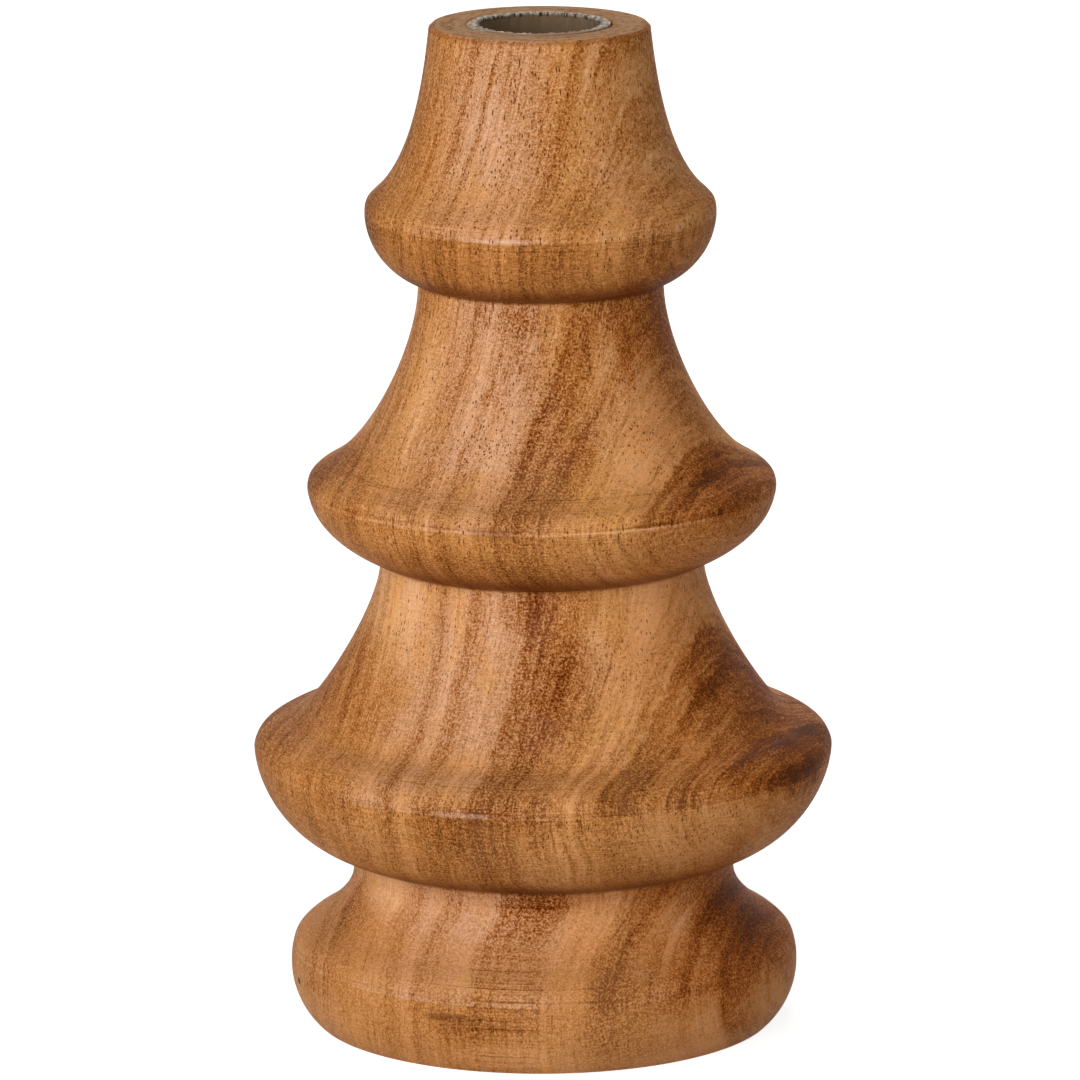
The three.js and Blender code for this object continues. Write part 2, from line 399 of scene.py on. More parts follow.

# Places where the figure is darker or, below zero, lighter; some are painted light and shade, not figure,
# such as the lighter bottom of the foot, where the floor throws light up: the middle's angle, in degrees from
# the front to the right, and its height; half the width and half the height, in the same units; how much
# darker
PLACES = (
    (3, 168, 14, 12, 0.09), (-26, 165, 12, 14, -0.10), (28, 166, 10, 10, -0.06), (7, 154, 14, 4, 0.08),
    (38, 149, 22, 8, -0.20), (20, 154, 10, 5, 0.08), (44, 174, 10, 10, -0.08), (27, 179, 8, 4, -0.08),
    (-80, 150, 14, 6, 0.24), (2, 146, 8, 5, 0.12), (-4, 128, 9, 10, 0.18), (-10, 118, 7, 12, 0.08),
    (29, 128, 8, 10, -0.28), (19, 120, 8, 7, -0.18), (-21, 113, 8, 6, -0.08), (-62, 120, 14, 12, -0.12),
    (50, 103, 14, 5, 0.16), (34, 109, 10, 4, -0.18), (68, 122, 18, 12, 0.26), (-82, 104, 14, 6, 0.28),
    (-42, 101, 8, 4, 0.10), (-8, 83, 8, 5, 0.22), (11, 81, 10, 7, -0.16), (9, 67, 10, 12, 0.13),
    (5, 53, 12, 5, 0.15), (33, 45, 16, 8, -0.22), (34, 57, 10, 6, -0.12), (40, 64, 10, 7, -0.16),
    (75, 62, 18, 20, 0.14), (-80, 64, 18, 12, 0.14), (-38, 74, 14, 14, -0.08), (-68, 83, 24, 9, -0.30),
    (-43, 50, 8, 4, 0.10), (-19, 48, 7, 6, 0.24), (5, 31, 14, 3, 0.18), (-60, 31, 18, 7, -0.26),
    (5, 18, 12, 12, 0.09), (-10, 20, 7, 8, -0.09), (39, 22, 8, 6, -0.10), (70, 24, 20, 10, 0.18),
    (-70, 24, 14, 7, 0.12), (27, 14, 14, 4, 0.08), (-18, 9, 6, 4, 0.09), (-21, 4, 5, 7, 0.20),
    (-12, 4, 14, 4, -0.22), (54, 6, 26, 7, -0.30), (-60, 5, 18, 5, -0.12), (0, 0, 60, 4, -0.10),
    (60, 178, 16, 8, -0.10), (58, 158, 18, 10, -0.14), (70, 150, 20, 9, -0.18), (-10, 134, 22, 3, 0.14),
    (62, 105, 12, 5, 0.12), (50, 90, 20, 6, -0.12), (-30, 90, 30, 5, 0.16), (-45, 65, 8, 6, 0.10),
    (-14, 56, 10, 4, -0.05), (55, 47, 12, 6, -0.12), (-18, 38, 8, 7, 0.14), (0, 38, 8, 8, -0.06),
    (52, 145, 12, 5, -0.12), (38, 82, 9, 8, -0.14), (-58, 75, 12, 8, -0.14), (-7, 50, 10, 4, 0.10),
    (57, 38, 10, 5, -0.18), (42, 26, 9, 6, -0.10), (-22, 12, 5, 4, 0.12), (45, 1, 25, 3, -0.15),
)


class TurnedWood(PieceWeb):
    """Oiled hardwood as a solid block: growth layers, fibres, mottles, pores and turning lines.

    The figure says how dark the layers are, and the tone adds the fine grain to it; both run from about
    0 for pale wood to 1 for the darkest heartwood.
    """

    def __init__(self, colours):
        super().__init__("oiled_turned_wood")
        self.colours = colours
        self.azimuth = self.math("ARCTAN2", self.x, -self.y) * (180 / math.pi)
        self.spot = self.joined(self.azimuth, self.height, 0.0)
        self.mark_tiers()
        self.bend_layers()

    def mark_tiers(self):
        """Shares that are 1 on the bellies, in the corners under them, above the creases, on the foot."""
        height = self.height
        self.belly, self.corner, self.slope = 0.0, 0.0, 0.0
        for crease, depth, *rest in CREASES:
            low = crease - depth
            below = height.step(crease, crease - 0.5) * height.step(low - 1, low)
            self.belly += below
            self.slope += height.line(crease + 5, 2.5, 3)
            if low > 0:
                # The corner share carries painted shade under each belly.
                self.corner += below * height.step(low + 4.5, low + 0.8)
        self.foot = height.step(36, 24)

    def bend_layers(self):
        """Lays the growth layers in slow and quick waves, and tears their edges."""
        slow = self.cloud((0.024, 0.024, 0.016), detail=1.0, output="Color")
        self.quick = self.cloud((0.13, 0.13, 0.05), output="Color")
        torn = self.cloud((0.4, 0.4, 0.2), detail=1.0, output="Color")
        ragged = self.cloud((1.1, 1.1, 0.5), detail=3.0, output="Color")
        waved = self.pushed(self.pushed(self.point, slow, 3.0), self.quick, 1.8)
        smooth_x, smooth_y, smooth_z = self.parts(waved)
        waved = self.pushed(self.pushed(waved, torn, 2.4), ragged, 1.9)
        self.waved_x, y, z = self.parts(waved)
        self.layer = self.layer_at(self.waved_x, y)
        smooth_layer = self.layer_at(smooth_x, smooth_y) * 0.85 + self.layer * 0.15
        self.grain_place = self.joined(smooth_layer, self.waved_x * 0.45 + y * 0.88, z)

    def layer_at(self, x, y):
        """How far a place's layer lies from the axis; the layers turn and drift with the height."""
        turn = self.height.step(25, 38, 1.345, 1.11)
        climb = self.most(self.height - 110, 0.0) * -0.15
        drift = self.height.step(20, 41, 15, 1.5) + self.height.step(137.2, 138.6, 0, -10)
        return x * self.math("SINE", turn) - y * self.math("COSINE", turn) + drift + climb

    def noise_round(self, round_scale, section_scale, detail=2.0):
        """Noise drawn out in rings round the upright axis, as a turned surface shows it."""
        around = self.vector_math("NORMALIZE", self.joined(self.x, self.y, 0.0))
        reach = 30.0 * round_scale
        place = self.vector_math("MULTIPLY", around, (reach, reach, 0.0))
        place = self.vector_math("ADD", place, self.joined(0.0, 0.0, self.height * section_scale))
        sockets = {"Vector": place, "W": self.radius * section_scale, "Detail": detail, "Roughness": 0.6}
        return self.make("ShaderNodeTexNoise", "Fac", {**sockets, "Scale": 1.0}, noise_dimensions="4D")

    def draw_figure(self):
        """Dark bands by layer and height, darker and lighter places, and arcs at the top right."""
        self.calm = self.belly * self.layer.line(43, 9, 3)
        bands = self.graph(self.layer, LAYERS) - 0.2
        figure = bands * self.graph(self.height, BAND_STRENGTH) * self.calm.fade(0.2)
        patches = self.cloud((0.035, 0.035, 0.022), (3.1, 0.7, 0.2))
        figure = figure * patches.step(0.25, 0.62, 0.8, 1.2) + 0.18
        for turned, level, half_turn, half_level, strength in PLACES:
            away = self.away(self.spot, (turned, level), (half_turn, half_level))
            figure += away.step(1.35, 0.35, 0.0, strength)
        arcs = self.away(self.spot, (62, 146), (2.0, 1.43)) + (self.waved_x - self.x) * 1.5
        arcs = self.noise(self.joined(arcs * 0.42, 0.0, self.height * 0.02))
        arcs_here = self.height.step(140, 148) * self.azimuth.step(22, 42) * self.azimuth.step(130, 100)
        self.figure = figure + (arcs - 0.40) * arcs_here * 0.8

    def split_layers(self):
        """Splits each layer into thin leaves, some of them drawn out as dark lines."""
        leaves = self.cloud((0.38, 0.03, 0.012), place=self.grain_place, roughness=0.6)
        self.thin_leaves = self.cloud((1.3, 0.06, 0.03), place=self.grain_place, detail=3.0, roughness=0.65)
        still = self.calm.fade(0.45)
        share = self.layer.step(8, 34, 0.36, 0.6) * self.foot.fade(0.5) * still
        figure = self.figure + (leaves - 0.5) * share
        share = figure.step(0.1, 0.6, 0.55, 0.8) * self.layer.step(20, 34, 1.0, 1.5) * self.foot.fade(0.6)
        figure += (self.thin_leaves - 0.5) * share * still
        self.figure = figure + self.thin_leaves.step(0.58, 0.74, 0.0, 0.10)

    def add_grain(self):
        """Short dark squiggles with pale flecks between, strongest in the dark bands, and fibres."""
        squiggles = self.cloud((2.5, 2.5, 2.3), roughness=0.65)
        self.mottle = squiggles.step(0.36, 0.66)
        self.grains = self.cloud((6.0, 6.0, 3.8), roughness=0.75)
        self.fibres = self.cloud((3.4, 0.8, 0.22), place=self.grain_place, roughness=0.65)
        weave = self.noise_round(0.8, 4.2)
        tone = self.figure + (self.mottle - 0.45) * self.figure.step(0.0, 0.6, 0.18, 0.58)
        tone += (self.grains - 0.5) * self.height.step(15, 60, 0.55, 1.0)
        tone += (self.fibres - 0.5) * self.height.step(15, 60, 0.35, 0.62)
        self.tone = tone + (weave - 0.5) * (self.belly * 0.2 + self.height.step(15, 60, 0.28, 0.52))

    def mark_turning(self):
        """Rings that the gouge and the sandpaper left, the same all round at one place of the outline."""
        rings = self.noise(self.joined(self.radius, self.height, 0.0), scale=2.1, detail=1.5, roughness=0.6)
        self.worn = self.cloud((0.05, 0.05, 0.5), (1.3, 4.0, 0.0))
        near_crease = 0.0
        for crease, *rest in CREASES:
            near_crease += self.height.line(crease + 1.5, 1.5, 3.5)
        scored = self.worn.step(0.42, 0.62, 0.1, 1.0) * (near_crease + 0.35) * self.foot.fade(0.3)
        scored += self.foot * self.layer.line(17, 4, 4) * 1.1
        self.rings = (rings - 0.5) * scored
        self.scores = rings.step(0.58, 0.74) * scored
        tone = self.tone + self.rings * 0.42 + self.scores * self.height.step(125, 140, 0.18, 0.05)
        # Painted shade: the bellies, which face down, are made darker, most on the top tier's belly.
        self.tone = tone + self.belly * self.height.step(130, 136, 0.05, 0.16) + 0.10

    def rub_edges(self):
        """Rubs the edge of each tier pale, at random as wear and in the sheen's stretch as a painted
        highlight, and paints shade into the cut just above it.
        """
        rub_here = self.cloud((0.09, 0.09, 0.09), (4.0, 6.0, 1.0), detail=3.0).step(0.46, 0.60, 0.0, 0.5)
        pale_wear_and_sheen, crease_shade, self.painted_sheen = 0.0, 0.0, 0.0
        for crease, depth, centre, half, spread in CREASES:
            here = self.azimuth.line(centre, half * 0.5, half)
            pale_wear_and_sheen += self.height.line(crease + 0.1, 0.05, 0.22) * self.most(here, rub_here)
            # Painted sheen: a pale band along the crease, in the stretch of the edge given for it.
            self.painted_sheen += self.height.line(crease + 0.1, spread * 0.5, spread * 0.5 + 0.2) * here
            crease_shade += self.height.line(crease + 0.7, 0.05, 0.22) * (here + 0.4)
        # Pale line along each edge: wear at random, and a painted highlight in the sheen's stretch.
        self.tone += pale_wear_and_sheen * self.grains.step(0.3, 0.6) * -0.26
        # Painted shade: a dark line in the cut just above each crease, strongest in the sheen's stretch.
        self.tone += crease_shade * self.worn.step(0.40, 0.60, 0.2, 1.0) * 0.18

    def wash(self, share, colour, blend="MIX"):
        """Lays a colour over the paint."""
        self.paint = self.mix(share, self.paint, colour, blend)

    def lay_colours(self):
        """Colours by tone, then casts of another hue in streaks and in patches, and painted sheen, shade and
        edge highlights.
        """
        colours, tone, height, azimuth = self.colours, self.tone, self.height, self.azimuth
        self.paint = self.ramp((tone + 0.4) * (1 / 1.4), (
            (0.0, colours.bright),
            (0.286, colours.pale),
            (0.5, colours.ground),
            (0.771, colours.band),
            (1.0, colours.heart),
        ))
        rosy_and_sheen = self.cloud((0.045, 0.045, 0.03), (7.7, 0.0, 5.1)).step(0.50, 0.66)
        # Painted sheen: on the side that faces the front lamp the flanks are washed to the rose hue, less
        # saturated.
        lamp_lit = azimuth.line(-21, 10, 24) * self.belly.step(1.0, 0.3) * height.step(25, 50, 0.8, 1.0)
        rosy_and_sheen = rosy_and_sheen * 0.3 + lamp_lit * 0.9 + self.foot * 0.3
        self.wash(rosy_and_sheen * tone.step(0.65, 0.05), colours.rose, "COLOR")

        plum = self.cloud((0.10, 0.10, 0.05), (2.2, 5.0, 0.4), detail=3.0).step(0.48, 0.64)
        plum = plum * tone.step(0.30, 0.55) * self.layer.step(8, 14) * 0.6
        # Painted sheen: a purplish stretch on the middle tier's edge, at the front left.
        edge_sheen = azimuth.line(-12, 4, 3) * height.line(99.4, 0.4, 0.9) * 0.45
        self.wash(self.most(plum, edge_sheen), colours.plum)

        rich = self.most(self.belly, self.slope, self.layer.line(32, 5, 5), self.layer.step(-26, -38))
        self.wash(rich * 0.4, colours.ground, "COLOR")
        golden = self.cloud((0.16, 0.16, 0.05), (9.2, 1.0, 3.4), detail=3.0).step(0.48, 0.66)
        self.wash(golden * tone.step(0.5, 0.1) * 0.5, colours.golden, "COLOR")
        redder = azimuth.step(18, 42) * azimuth.step(150, 110) * tone.step(0.2, 0.6, 0.15, 0.9)
        self.wash(redder * height.step(120, 150, 1.0, 0.4), colours.band, "COLOR")
        # Painted shade: the corners under the bellies are darkened towards the heartwood colour.
        self.wash(self.corner * 0.62, colours.heart)
        # Painted highlight along the edge of each tier, where a sheen would show.
        self.wash(self.painted_sheen * self.grains.step(0.35, 0.6) * 0.35, colours.sheen_paint)

    def open_pores(self):
        """Pores as slender spindles along the grain: short ones, and slits that follow the dark leaves."""
        bent = self.vector_math("MULTIPLY", self.quick, (1.2, 1.2, 1.2))
        bent = self.vector_math("ADD", self.point, bent)
        short_away, short_kind = self.cells(self.scaled(bent, (1.9, 1.9, 0.75)))
        slit_away, slit_kind = self.cells(self.scaled(bent, (1.4, 1.4, 0.2)))
        short_pick, size, *spare = self.parts(short_kind)
        slit_pick, *spare = self.parts(slit_kind)
        crowd = (self.cloud((0.11, 0.11, 0.04), (0.0, 2.0, 9.0)) - 0.5) * 1.4
        size = size * 0.20 + 0.08
        pores = short_away.step(size + 0.09, size) * (short_pick + crowd).step(0.50, 0.62)
        slit_pick = slit_pick + crowd + (self.thin_leaves - 0.5) * 1.6 + self.belly * 0.20
        slits = slit_away.step(0.24, 0.12) * slit_pick.step(0.66, 0.76)
        on_bellies = self.belly * self.height.step(25, 33, 0.0, 0.9)
        open_grain = self.most(self.height.step(20, 120, 0.4, 1.0), on_bellies)
        self.pits = self.most(pores * 0.9, slits) * open_grain
        self.wash(self.pits * self.tone.step(0.75, 0.35, 0.35, 1.0), self.colours.pore)

    def add_flaws(self):
        """A scorched smear below the foot's crease, and a worm hole low on the left, painted dark as its
        shade.
        """
        smear = self.azimuth.line(-22, 3.5, 3) * self.height.line(10.8, 0.4, 0.6) * self.grains.step(0.3, 0.5)
        self.wash(smear * 0.55, self.colours.heart)
        worm = self.away(self.spot, (-75, 9.2), (2.2, 1.1)).step(0.70, 0.35)
        self.wash(worm * 0.9, self.colours.hole_shade)

    def saw_ends(self):
        """Sawn end grain on the top face and under the base."""
        height, colours = self.height, self.colours
        top = BLOCK_HIGH.z / MM
        up = self.math("ABSOLUTE", self.parts(self.make("ShaderNodeNewGeometry", "Normal"))[2])
        ends = self.most(height.step(top - 1.5, top - 0.4), height.step(0.6, 0.2))
        self.sawn = up.step(0.93, 0.99) * ends
        sawdust = self.cloud((0.8, 0.8, 0.8), (0.5, 0.3, 8.0), detail=4.0, roughness=0.75)
        sawdust = sawdust * 0.5 + self.noise_round(0.12, 1.3, detail=3.0) * 0.5
        specks = (sawdust + (self.grains - 0.5) * 0.6).step(0.47, 0.60)
        mouth = self.most(height.line(top - 0.45, 0.15, 0.3), self.radius.step(14.6, 13.2))
        specks = self.most(specks * 0.9, mouth * 0.4)
        self.wash(self.sawn * 0.92, self.mix(specks, colours.end_grain, colours.band))
        self.wash(height.line(top - 0.5, 0.15, 0.35) * self.radius.step(18, 19) * 0.3, colours.band)

    def finished(self):
        """Joins the colour, the gloss and the fine relief, and gives the material back."""
        relief = self.bump(self.fibres * 0.5 - self.pits * 0.5, 0.12 * MM, 0.4)
        relief = self.bump(self.rings - self.scores, 0.10 * MM, 0.5, relief)
        return self.surface({
            "Base Color": self.paint,
            "Roughness": self.mottle * 0.06 + self.pits * 0.25 + self.sawn * 0.2 + 0.46,
            "Normal": self.bump(self.grains, 0.10 * MM, 0.5, relief),
            "Specular IOR Level": 0.02,
        })


def wood_material(colours):
    """The block's wood, from its layers out to its sawn ends."""
    wood = TurnedWood(colours)
    wood.draw_figure()
    wood.split_layers()
    wood.add_grain()
    wood.mark_turning()
    wood.rub_edges()
    wood.lay_colours()
    wood.open_pores()
    wood.add_flaws()
    wood.saw_ends()
    return wood.finished()


def steel_material(colours):
    """Cut steel tube: bright and dusty at the rim, sooty inside, with fine saw marks and spots of rust, and
    painted light and shade.
    """
    web = PieceWeb("cut_steel_tube")
    x, y, height, radius = web.x, web.y, web.height, web.radius
    soot, steel, glint = colours.soot, colours.steel, colours.glint
    top = SLEEVE_HIGH.z / MM
    bore = BORE_RADIUS / MM
    angle = web.math("ARCTAN2", y, x)
    drips = web.noise(web.joined(angle * 9.0, height * 0.12, 0.0), detail=3.0, roughness=0.6)
    scratches = web.cloud((2.2, 5.5, 5.5), detail=3.0, roughness=0.65)
    lumps = web.cloud((1.3, 0.7, 1.0), detail=4.0, roughness=0.75)
    blotches = web.cloud((0.45, 0.45, 0.45), detail=3.0)
    inside = radius.step(bore + 0.5, bore + 0.15) * height.step(top - 0.15, top - 0.6)

    film = web.mix(drips.step(0.35, 0.75), soot, web.mix(0.28, soot, steel))
    film = web.mix(scratches.step(0.38, 0.66, 0.0, 0.55), film, web.mix(0.5, soot, steel))
    # Painted light: the inside of the bore is made lighter towards the right, where the light falls in.
    film = web.mix(x.step(1, 11, 0.0, 0.06), film, glint)

    paint = web.mix(lumps.step(0.40, 0.56), steel, web.mix(0.5, steel, glint))
    paint = web.mix(lumps.step(0.60, 0.70) * scratches.step(0.45, 0.55), paint, glint)
    dust = blotches.step(0.44, 0.56) * radius.step(bore + 0.4, bore + 1.2) * lumps.step(0.62, 0.45)
    dust = web.most(dust, y.step(-4, -10) * lumps.step(0.32, 0.46))
    paint = web.mix(dust * 0.9, paint, colours.dust)
    # Painted highlight: a bright line along the rim's inner edge at the front left.
    painted_glint = angle.line(-2.07, 0.25, 0.2) * radius.line(bore + 0.5, 0.15, 0.15) * lumps.step(0.44, 0.52)
    paint = web.mix(painted_glint, paint, glint)
    paint = web.mix(inside, paint, film)

    teeth = web.noise(web.joined(angle * 12.0, 0.0, 0.0), detail=3.0, roughness=0.7)
    # Painted shade: dark gaps between the burrs of the rim's inner edge, at the back.
    shade_between_burrs = teeth.step(0.50, 0.56) * radius.step(bore + 0.75, bore + 0.5)
    shade_between_burrs *= height.step(top - 0.9, top - 0.6) * y.step(0, 4) * 0.85
    paint = web.mix(shade_between_burrs, paint, colours.shade)
    rusty = blotches.step(0.62, 0.72) * 0.5
    return web.surface({
        "Base Color": web.mix(rusty, paint, colours.rust),
        "Metallic": inside.step(0.0, 1.0, 0.12, 0.4),
        "Roughness": scratches * 0.18 + inside * 0.12 + rusty * 0.2 + 0.5,
        "Normal": web.bump(scratches, 0.06 * MM, 0.5),
        "Specular IOR Level": inside.step(0.0, 1.0, 0.02, 0.1),
    })


def disc_material(colours):
    """Stamped steel disc, dulled by soot and wax."""
    web = PieceWeb("dull_steel_disc")
    scuffs = web.cloud((1.2, 3.5, 1.0), detail=3.0, roughness=0.6)
    stains = web.cloud((0.25, 0.25, 0.25)).step(0.55, 0.75, 0.0, 0.6)
    paint = web.mix(scuffs.step(0.35, 0.7), colours.soot, web.mix(0.45, colours.soot, colours.steel))
    return web.surface({
        "Base Color": web.mix(stains, paint, colours.rust),
        "Metallic": 0.7,
        "Roughness": scuffs * 0.2 + 0.5,
        "Normal": web.bump(scuffs, 0.05 * MM, 0.5),
    })


def glue_material(colours):
    """Dried glue with sawdust in it."""
    web = PieceWeb("glue_and_sawdust")
    dust = web.cloud((2.5, 2.5, 2.5), detail=3.0, roughness=0.6)
    paint = web.mix(dust.step(0.35, 0.65), web.mix(0.55, colours.glue, colours.soot), colours.glue)
    return web.surface({"Base Color": paint, "Roughness": 0.6, "Normal": web.bump(dust, 0.08 * MM, 0.6)})


def floor_material(shade):
    """Pale floor that shows as white behind the object and keeps its shadow."""
    web = Web(bpy.data.materials.new("pale_floor"))
    lit = web.make("ShaderNodeBsdfDiffuse", "BSDF", {"Color": tuple(shade)})
    glow = web.make("ShaderNodeEmission", "Emission", {"Color": WHITE, "Strength": 0.86})
    soft = web.make("ShaderNodeBsdfDiffuse", "BSDF", {"Color": (0.5, 0.5, 0.5)})
    shown = web.make("ShaderNodeAddShader", "Shader", {0: glow, 1: soft})
    return web.end(web.make("ShaderNodeMixShader", "Shader", {"Fac": web.seen_as_white(), 1: lit, 2: shown}))


def white_room(strength):
    """A world of even light from all round, which the camera and shiny metal see as white."""
    web = Web(bpy.data.worlds.new("white_room"))
    shown = web.seen_as_white().step(0.0, 1.0, strength, 1.0)
    sky = web.make("ShaderNodeBackground", "Background", {"Color": WHITE, "Strength": shown})
    return web.end(sky, "ShaderNodeOutputWorld")


def deselect():
    bpy.ops.object.select_all(action="DESELECT")


def editing(mode):
    """Turns to a select mode of edit mode, with nothing selected."""
    bpy.ops.object.mode_set(mode="EDIT")
    bpy.ops.mesh.select_mode(type=mode)
    bpy.ops.mesh.select_all(action="DESELECT")


def select_vertices(obj, wanted):
    """Selects, in edit mode, the vertices whose place is wanted."""
    bpy.ops.mesh.select_all(action="DESELECT")
    bpy.ops.object.mode_set(mode="OBJECT")
    for vertex in obj.data.vertices:
        vertex.select = bool(wanted(vertex.co))
    bpy.ops.object.mode_set(mode="EDIT")


def close_shape(smooth_angle):
    """Merges what touches, turns the faces outwards and leaves edit mode with a smooth surface."""
    bpy.ops.mesh.select_all(action="SELECT")
    bpy.ops.mesh.remove_doubles(threshold=TOUCH)
    bpy.ops.mesh.normals_make_consistent(inside=False)
    bpy.ops.object.mode_set(mode="OBJECT")
    bpy.ops.object.shade_smooth_by_angle(angle=math.radians(smooth_angle))


def settle(obj, name, material, node):
    """Names a finished piece, puts its place into its mesh and ties it to the frame."""
    deselect()
    obj.select_set(True)
    bpy.context.view_layer.objects.active = obj
    bpy.ops.object.transform_apply(location=True, rotation=True, scale=True)
    obj.name = name
    obj.data.name = name
    obj.data.materials.clear()
    obj.data.materials.append(material)
    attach(obj, BODY)
    if node:
        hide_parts(node)
    return obj


def block_outline():
    """(radius, height) of the points of the block's outside, from its base up, read from the frame."""
    outside = SLEEVE_HIGH.x * 1.2
    rings = {
        (round(vertex.co.x, 6), round(vertex.co.z, 6))
        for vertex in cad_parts[BLOCK_NODE].data.vertices
        if vertex.co.x > outside and abs(vertex.co.y) < TOUCH * 10
    }
    return [Vector(ring) for ring in sorted(rings, key=lambda ring: (ring[1], -ring[0]))]


def runs_between_corners(points, corner=math.radians(36)):
    """Splits an outline where it turns sharply; the corner ends one run and starts the next."""
    runs, run = [], [points[0]]
    for before, here, after in zip(points, points[1:], points[2:]):
        run.append(here)
        if abs((here - before).angle_signed(after - here)) > corner:
            runs.append(run)
            run = [here]
    runs.append(run + [points[-1]])
    return runs


def tangents(points):
    """Direction of a smooth curve at each of its points, per unit of chord length."""
    chords = [b - a for a, b in zip(points, points[1:])]
    slopes = [chord / chord.length for chord in chords]
    inner = []
    for (before, after), (left, right) in zip(zip(chords, chords[1:]), zip(slopes, slopes[1:])):
        inner.append((left * after.length + right * before.length) / (before.length + after.length))
    if not inner:
        return slopes * 2
    first = slopes[0] * 2 - inner[0]
    last = slopes[-1] * 2 - inner[-1]
    return [first, *inner, last]


def outline_controls(points):
    """Bezier points (left handle, point, right handle) of the whole outside, smooth between its corners."""
    widest = max(point.x for point in points)
    controls = []
    for run in runs_between_corners(points):
        directions = tangents(run)
        for index, (here, direction) in enumerate(zip(run, directions)):
            left = here - direction * (here - run[index - 1]).length / 3 if index else here
            right = here + direction * (run[index + 1] - here).length / 3 if index + 1 < len(run) else here
            left.x, right.x = min(left.x, widest), min(right.x, widest)
            if controls and index == 0:
                controls[-1] = (controls[-1][0], here, right)
            else:
                controls.append((left, here, right))
    return controls


class CANDLEHOLDER_OT_turned_block(bpy.types.Operator):
    """Draw the block's outline as a curve and spin it round the axis"""

    bl_idname = "candleholder.turned_block"
    bl_label = "Turned block"

    def execute(self, context):
        settings = context.scene.holder_block
        outside = block_outline()
        if len(outside) < 8:
            raise RuntimeError("the frame's block has no vertices on the plane through its axis")
        top = BLOCK_HIGH.z
        socket_floor = SLEEVE_LOW.z
        socket_radius = SLEEVE_HIGH.x + (DISC_HIGH.z - DISC_LOW.z) * 0.2
        mouth = settings.mouth_break
        inside = [
            Vector((socket_radius + mouth, top)),
            Vector((socket_radius, top - mouth)),
            Vector((socket_radius, socket_floor)),
            Vector((0.0, socket_floor)),
        ]
        deselect()
        bpy.ops.curve.primitive_bezier_curve_add(location=ORIGIN)
        curve = context.active_object
        curve.data.dimensions = "3D"
        curve.data.resolution_u = settings.spans
        curve.data.splines.clear()
        corners = [(point,) * 3 for point in inside]
        controls = [(Vector((0.0, 0.0)),) * 3, *outline_controls(outside), *corners]
        spline = curve.data.splines.new("BEZIER")
        spline.bezier_points.add(len(controls) - 1)
        for knot, (left, here, right) in zip(spline.bezier_points, controls):
            knot.handle_left_type = knot.handle_right_type = "FREE"
            knot.co = (here.x, 0.0, here.y)
            knot.handle_left = (left.x, 0.0, left.y)
            knot.handle_right = (right.x, 0.0, right.y)
        bpy.ops.object.convert(target="MESH")
        block = context.active_object
        editing("VERT")
        for height in TURNED_LINES:
            self.cut_line(block, height * MM, settings)
        bpy.ops.mesh.select_all(action="SELECT")
        bpy.ops.mesh.spin(steps=settings.steps, angle=math.tau, center=ORIGIN, axis=UP)
        close_shape(40)
        settle(block, "turned_block", wood_material(context.scene.holder_wood), BLOCK_NODE)
        return {"FINISHED"}

    def cut_line(self, block, height, settings):
        """Sinks one point of the outline at this height, between two that stay."""
        for level in (height - settings.line_width, height, height + settings.line_width):
            bpy.ops.mesh.select_all(action="SELECT")
            bpy.ops.mesh.bisect(plane_co=(0.0, 0.0, level), plane_no=UP)
        select_vertices(block, lambda place: abs(place.z - height) < TOUCH and place.x > SLEEVE_HIGH.x)
        bpy.ops.transform.translate(value=(-settings.line_depth, 0.0, 0.0))


def drawn_up_ring(stations, steps, name):
    """A circle drawn up through a list of (radius, height) stations by extruding its edge."""
    first = stations[0]
    deselect()
    bpy.ops.mesh.primitive_circle_add(vertices=steps, radius=first[0], fill_type="NOTHING", location=ORIGIN)
    ring = bpy.context.active_object
    ring.name = name
    editing("VERT")
    bpy.ops.mesh.select_all(action="SELECT")
    bpy.ops.transform.translate(value=(0.0, 0.0, first[1]))
    for before, after in zip(stations, stations[1:]):
        bpy.ops.mesh.extrude_edges_move()
        share = after[0] / before[0]
        bpy.ops.transform.resize(value=(share, share, 1.0), center_override=(0.0, 0.0, before[1]))
        bpy.ops.transform.translate(value=(0.0, 0.0, after[1] - before[1]))
    return ring


def displaced(obj, name, weight, strength, direction, grain=None):
    """Pushes vertices as far as their weight says, by a cloudy texture where a grain is given."""
    group = obj.vertex_groups.new(name=name)
    for vertex in obj.data.vertices:
        group.add([vertex.index], weight(vertex.co), "REPLACE")
    push = obj.modifiers.new(name, "DISPLACE")
    if grain:
        texture = bpy.data.textures.new(name, "CLOUDS")
        texture.noise_scale = grain
        texture.noise_depth = 2
        push.texture = texture
        push.texture_coords = "LOCAL"
    push.vertex_group = name
    push.direction = direction
    push.strength = strength
    push.mid_level = 0.5 if grain else 0.0
    bpy.context.view_layer.objects.active = obj
    bpy.ops.object.modifier_apply(modifier=name)
    obj.vertex_groups.clear()


